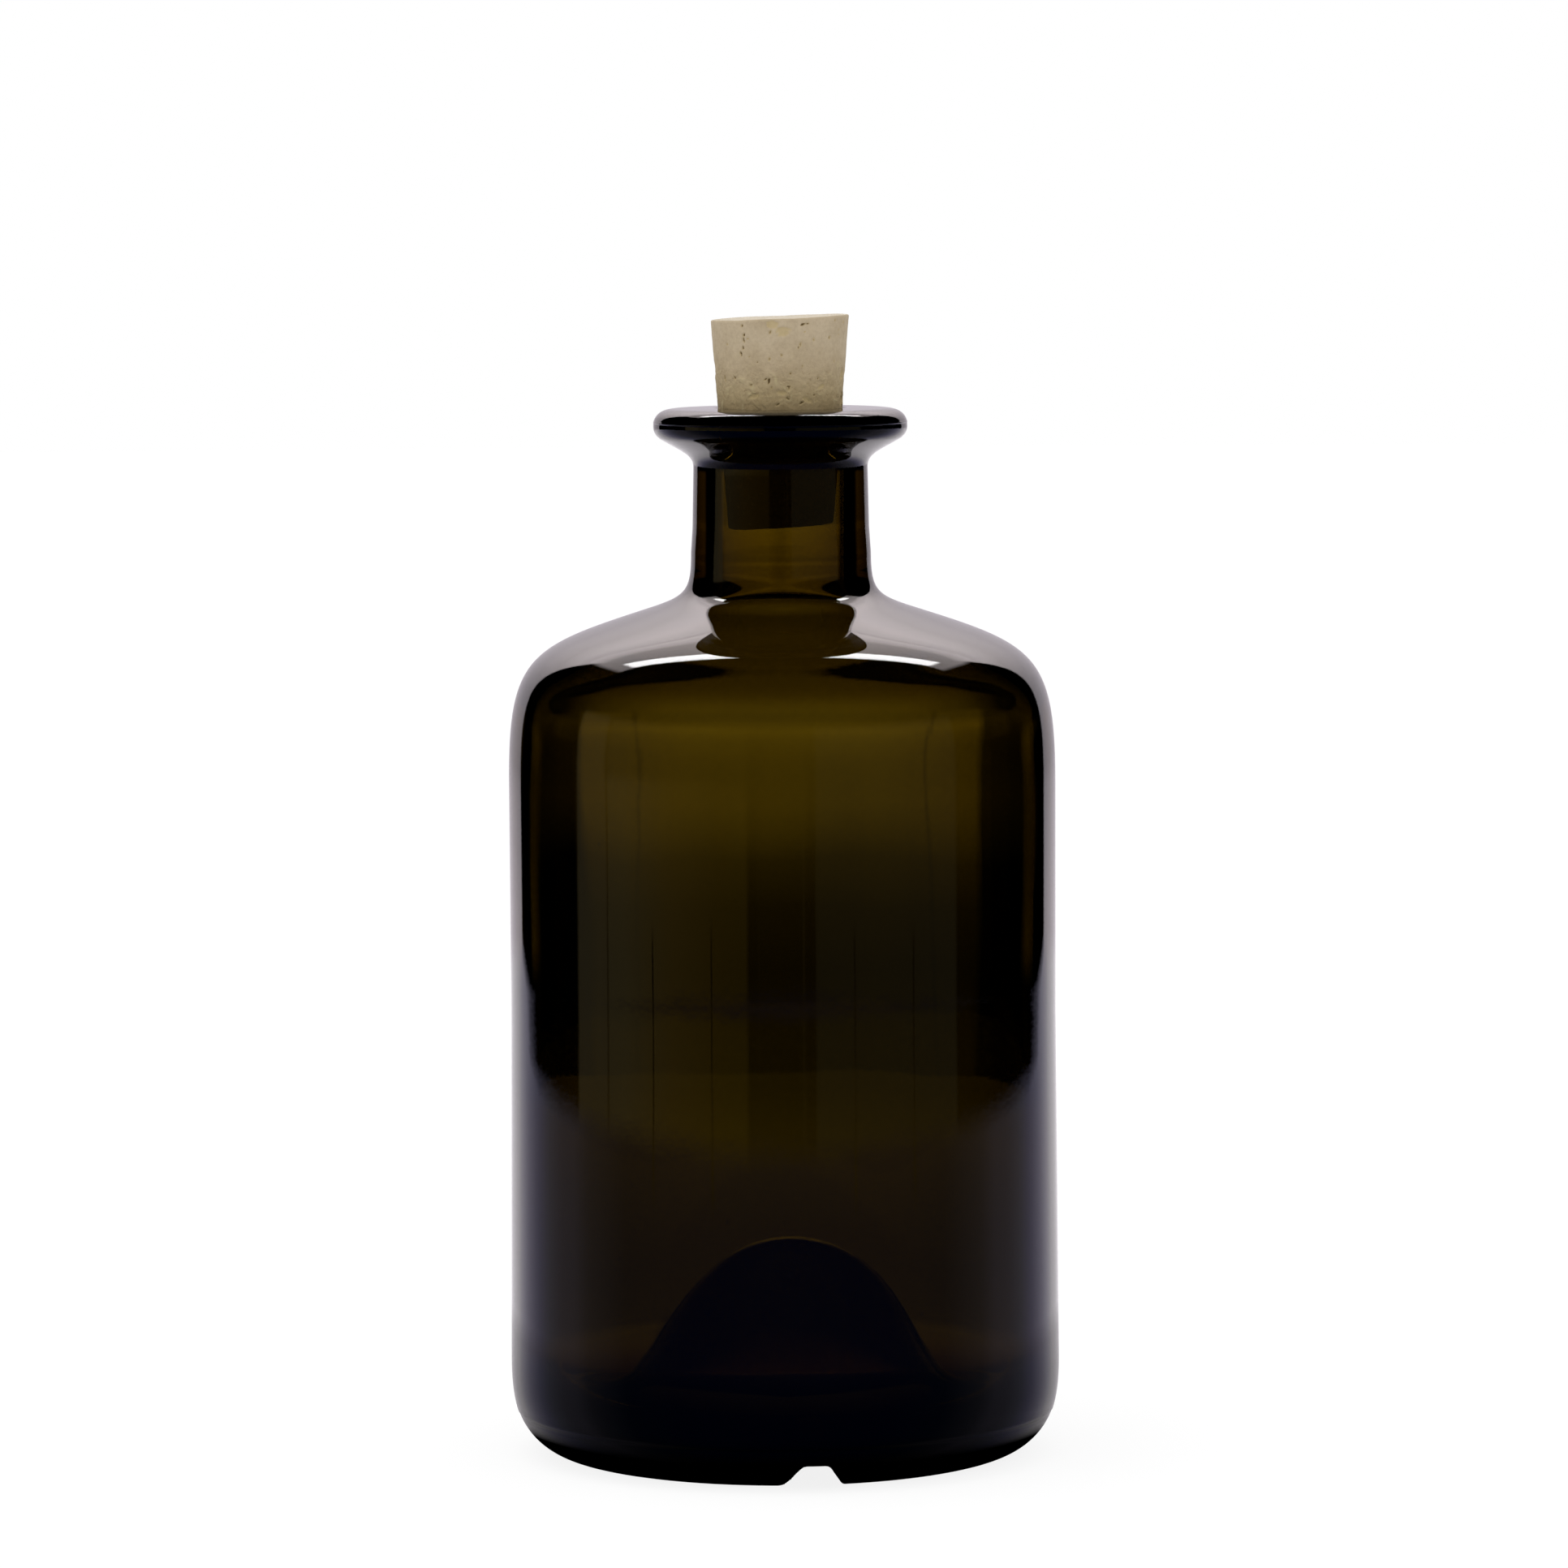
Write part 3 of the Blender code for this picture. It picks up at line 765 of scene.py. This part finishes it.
shade_material, tree = new_material("shade_round_foot")
place = add_node(tree, "TexCoord").outputs["Object"]
away = add_node(tree, "VectorMath", {0: place}, operation="LENGTH").outputs["Value"]
away = add_node(tree, "MapRange", {"Value": away, "From Max": SHADE_R}).outputs["Result"]
clear = ramp(tree, away, [(0.232, 0.0), (0.256, 0.33), (0.317, 0.55), (0.80, 0.75), (0.95, 1.0)])
shade = add_node(tree, "Emission", {"Color": (0, 0, 0, 1), "Strength": 0})
see_through = add_node(tree, "BsdfTransparent")
shade_mix = add_node(tree, "MixShader", {"Fac": clear})
tree.links.new(shade.outputs["Emission"], shade_mix.inputs[1])
tree.links.new(see_through.outputs["BSDF"], shade_mix.inputs[2])
add_node(tree, "OutputMaterial", {"Surface": shade_mix.outputs["Shader"]})
disc = bmesh.new()
bmesh.ops.create_circle(disc, cap_ends=True, segments=96, radius=SHADE_R)
add_stage(disc, "shade_round_foot", shade_material, ("glossy",))

# %% [markdown]
# ## Light from the studio
# The rest of the studio is far enough away to be painted on the sky, and it is a different sky for each
# kind of ray. The camera sees plain white. Matt surfaces get even white light. Mirrored rays find a
# white wall behind the bottle that brightens upwards, a pair of lamps above it, black cards at the
# sides and two dim panels beside the camera, with a gap between them. The left panel is dimmer in its
# upper part. Below all of it lies the table, bright behind the bottle and dark in front of it, where the
# bottle's shadow is painted on it. At its near edge, two dark legs show on either side.

# %% Directions on the sky
world = bpy.data.worlds.new("studio")
bpy.context.scene.world = world
world.use_nodes = True
sky = world.node_tree
sky.nodes.clear()


def calculate(operation, *values):
    return add_node(sky, "Math", dict(enumerate(values)), operation=operation).outputs["Value"]


def between(value, low, high, edge):
    """1 where the value lies between low and high, with soft edges."""
    rising = add_node(sky, "MapRange", {"Value": value, "From Min": low - edge, "From Max": low + edge})
    falling = add_node(sky, "MapRange", {"Value": value, "From Min": high + edge, "From Max": high - edge})
    return calculate("MULTIPLY", rising.outputs["Result"], falling.outputs["Result"])


ray = add_node(sky, "SeparateXYZ", {"Vector": add_node(sky, "TexCoord").outputs["Generated"]})
right, back, up = ray.outputs
side = calculate("DEGREES", calculate("ARCTAN2", right, calculate("MULTIPLY", back, -1)))
turn = calculate("ABSOLUTE", side)
rise = calculate("DEGREES", calculate("ARCSINE", up))
ceiling_x = calculate("ABSOLUTE", calculate("DIVIDE", right, calculate("MAXIMUM", up, 0.001)))
ceiling_y = calculate("DIVIDE", back, calculate("MAXIMUM", up, 0.001))

# %% Mirrored sky
WALL_BRIGHTEST = 2.8
CEILING_LIGHT = 1.8
LAMP_LIGHT = 10
CORNER_DIMMING = 0.45


def both_shares(first, second):
    return calculate("MULTIPLY", first, second)


def tinted(share, colour, strength):
    """A share of the sky times a colour."""
    scaled = calculate("MULTIPLY", share, strength)
    return mixed(sky, 1, scaled, colour, "MULTIPLY")


wall_height = add_node(sky, "MapRange", {"Value": rise, "From Min": -10, "From Max": 50}).outputs["Result"]
wall_light = ramp(sky, wall_height, [
    (0.0, 0.34), (0.07, 0.31), (0.10, 0.22), (0.17, 0.23), (0.30, 0.27), (0.42, 0.35),
    (0.60, 0.6), (0.72, 0.92), (0.80, 0.9), (1.0, 0.7)])
wall_tint = ramp(sky, wall_height, [(0.20, (1.0, 0.92, 1.0)), (0.60, (1.0, 0.9, 0.91))])
wall_light = mixed(sky, 1, wall_light, wall_tint, "MULTIPLY")
wall_share = both_shares(between(turn, 144.5, 200, 0.8), between(rise, -90, 40, 3))
overhead_edge = calculate("ADD", ceiling_y, calculate("MULTIPLY", ceiling_x, 0.2))
overhead_share = both_shares(between(ceiling_x, -1, 0.74, 0.04), between(overhead_edge, 0.62, 1.3, 0.02))
overhead_share = both_shares(overhead_share, between(rise, 38, 90, 3))
lamp_share = both_shares(between(ceiling_x, 0.10, 0.58, 0.02), between(ceiling_y, 0.52, 0.70, 0.015))
lamp_share = both_shares(lamp_share, between(rise, 10, 90, 1))
panel_place = add_node(sky, "MapRange", {"Value": side, "From Min": -100, "From Max": 100}).outputs["Result"]
panel_light = ramp(sky, panel_place, [
    (0.018, 0.0), (0.022, (0.20, 0.16, 0.08)), (0.103, (0.22, 0.18, 0.09)), (0.106, (0.05, 0.03, 0.01)),
    (0.109, (0.23, 0.19, 0.09)), (0.15, (0.25, 0.20, 0.09)),
    (0.265, (0.23, 0.15, 0.035)), (0.375, (0.15, 0.095, 0.01)), (0.424, (0.14, 0.09, 0.01)), (0.428, 0.0),
    (0.446, 0.0), (0.448, (0.06, 0.04, 0.01)), (0.450, 0.0), (0.541, 0.0), (0.543, (0.05, 0.035, 0.01)),
    (0.545, 0.0), (0.566, 0.0), (0.571, (0.07, 0.06, 0.03)), (0.885, (0.08, 0.07, 0.04)), (0.892, 0.0)])
low_down = between(rise, -30, 16, 2)
dim_corner = both_shares(between(side, -80, 0, 2), between(rise, -2.3, 20, 0.8))
corner_light = calculate("SUBTRACT", 1, calculate("MULTIPLY", dim_corner, CORNER_DIMMING))
low_down = calculate("MULTIPLY", low_down, corner_light)
mirrored = tinted(wall_share, wall_light, WALL_BRIGHTEST)
for share, colour, strength in (
        (overhead_share, (1.0, 0.90, 0.90, 1), CEILING_LIGHT),
        (lamp_share, (1, 1, 1, 1), LAMP_LIGHT),
        (low_down, panel_light, 1)):
    mirrored = mixed(sky, 1, mirrored, tinted(share, colour, strength), "ADD")

# %% Mirrored table
EDGE_SOFTNESS = 0.12
LEGS = (30, 56.3)
LEG_HALF = 0.35
LEG_FOOT = -7.1
LEG_TOP = -6.1
LEG_COLOUR = (0.01, 0.01, 0.01, 1)

table_place = add_node(sky, "MapRange", {"Value": turn, "From Max": 180}).outputs["Result"]
table_edge = ramp(sky, table_place, [
    (0.53, 0.668), (0.617, 0.664), (0.70, 0.66), (0.75, 0.645), (0.778, 0.626), (0.803, 0.605)])
# Painted shadow: in front of the bottle the mirrored table is dark, with the bottle's own shadow on it.
table_light = ramp(sky, table_place, [
    (0.25, (0.005, 0.012, 0.065)), (0.39, (0.015, 0.025, 0.065)), (0.50, (0.10, 0.10, 0.13)),
    (0.55, (0.18, 0.17, 0.22)), (0.60, (0.19, 0.18, 0.23)), (0.65, (0.23, 0.23, 0.30)),
    (0.70, (0.31, 0.30, 0.45)), (0.756, (0.52, 0.49, 0.65)), (0.80, (0.76, 0.72, 0.85)),
    (0.844, (1.0, 0.95, 1.0))])
below_edge = calculate("ADD", rise, calculate("MULTIPLY", table_edge, 10))
on_table = add_node(sky, "MapRange", {
    "Value": below_edge, "From Min": EDGE_SOFTNESS, "From Max": -EDGE_SOFTNESS}).outputs["Result"]
mirrored = mixed(sky, on_table, mirrored, table_light)
near_edge = between(rise, LEG_FOOT, LEG_TOP, 0.1)
for leg in LEGS:
    leg_share = both_shares(between(turn, leg - LEG_HALF, leg + LEG_HALF, 0.15), near_edge)
    mirrored = mixed(sky, leg_share, mirrored, LEG_COLOUR)

# %% One sky for each kind of ray
WHITE = (1, 1, 1, 1)
THROUGH_GLASS = (0.06, 0.06, 0.06, 1)
path = add_node(sky, "LightPath").outputs
choice = WHITE
for ray_kind, colour in (
        ("Is Glossy Ray", mirrored), ("Is Transmission Ray", THROUGH_GLASS), ("Is Camera Ray", WHITE)):
    choice = mixed(sky, path[ray_kind], choice, colour)
background = add_node(sky, "Background", {"Color": choice, "Strength": 1})
add_node(sky, "OutputWorld", {"Surface": background.outputs["Background"]})

# %% Lamp for the cork
LAMP_SIZE = 0.7
LAMP_POWER = 2.2
lamp_data = bpy.data.lights.new("soft_lamp", "AREA")
lamp_data.shape = "SQUARE"
lamp_data.size = LAMP_SIZE
lamp_data.energy = LAMP_POWER
lamp = bpy.data.objects.new("soft_lamp", lamp_data)
bpy.context.scene.collection.objects.link(lamp)
lamp.location = (-0.25, -0.15, 1.1)
lamp.rotation_euler = (Vector((0, 0, 0.17)) - lamp.location).to_track_quat("-Z", "Y").to_euler()
lamp.visible_glossy = False
lamp.visible_transmission = False

# %% [markdown]
# ## The camera
# A long lens from a little above the bottle keeps its sides nearly parallel, as in a catalogue picture.
# The camera looks a hair to the right of the axis and is rolled by a third of a degree, because the
# photographer's was too.

# %% Camera
PHOTO_SIZE = 1932
FOCAL_PIXELS = 9477.2
SENSOR = 36
CAMERA_PLACE = Vector((0, -1.204, 0.2062))
AIM_Z = 0.1055
ASIDE = -2.2 / FOCAL_PIXELS
ROLL = -0.0055

camera_data = bpy.data.cameras.new("camera")
camera_data.sensor_width = SENSOR
camera_data.lens = SENSOR * FOCAL_PIXELS / PHOTO_SIZE
camera = bpy.data.objects.new("camera", camera_data)
bpy.context.scene.collection.objects.link(camera)
pitch = math.atan2(CAMERA_PLACE.z - AIM_Z, -CAMERA_PLACE.y)
swung = Matrix.Rotation(ASIDE, 4, "Z")
tilted = Matrix.Rotation(math.pi / 2 - pitch, 4, "X")
rolled = Matrix.Rotation(ROLL, 4, "Z")
camera.matrix_world = Matrix.Translation(CAMERA_PLACE) @ (swung @ tilted @ rolled)
bpy.context.scene.camera = camera
print("camera looks down by", round(math.degrees(pitch), 2), "degrees")

# %% [markdown]
# ## How light travels
# A ray crosses four surfaces of glass before it leaves the bottle, and some are mirrored back and forth
# in the wall, so the number of bounces is raised. The plain view transform keeps white paper white.

# %% Render settings that belong to the look
scene = bpy.context.scene
scene.view_settings.view_transform = "Standard"
scene.cycles.max_bounces = 24
scene.cycles.transmission_bounces = 24
scene.cycles.glossy_bounces = 12
scene.cycles.diffuse_bounces = 3
scene.cycles.sample_clamp_indirect = 4
scene.cycles.use_denoising = True
